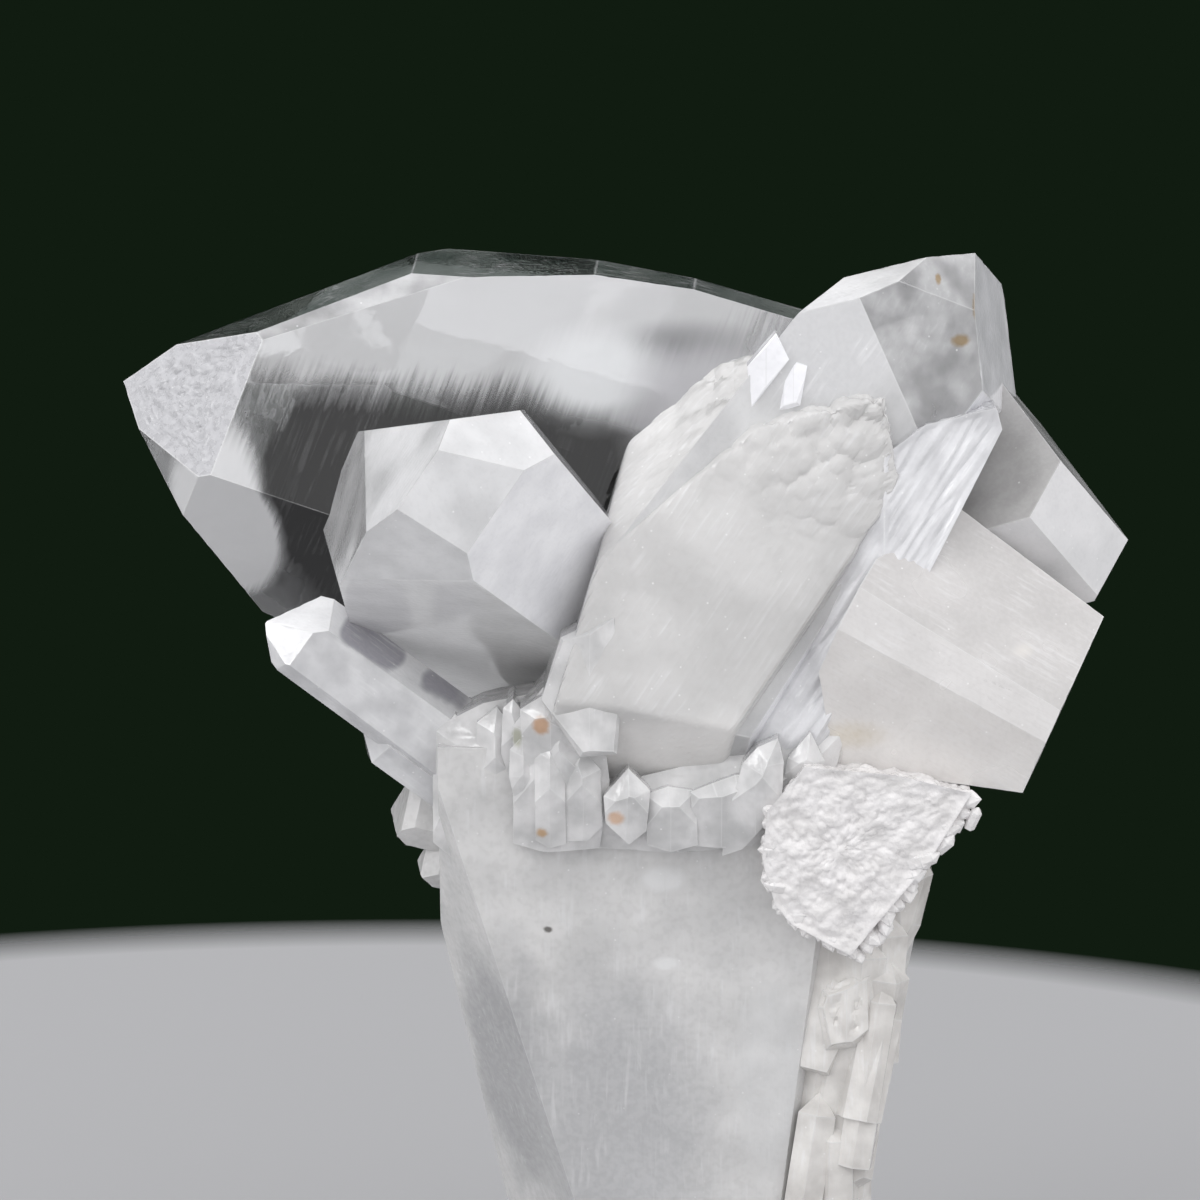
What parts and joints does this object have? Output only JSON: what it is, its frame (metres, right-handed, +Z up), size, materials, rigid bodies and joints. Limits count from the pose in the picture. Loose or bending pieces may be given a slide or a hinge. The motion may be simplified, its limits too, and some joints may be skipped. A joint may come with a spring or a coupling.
{
  "type": "quartz crystal cluster",
  "caption": "Lemurian quartz cluster: pointed clear and milky crystals grown together on one tapering trunk crystal, cut off flat at its foot.",
  "frame": {"origin": "centre of the bounding box in X and Y, at the flat cut foot that the cluster rests on", "axes": "+Z up along the trunk crystal, +X to the right and -Y towards the viewer when the large clear crystal points left"},
  "size_m": [0.1014, 0.078, 0.1171],
  "materials": {
    "milky_quartz": "glossy, clear to milky white"
  },
  "bodies": {
    "root": {"quartz_cluster": "milky_quartz"}
  },
  "joints": []
}
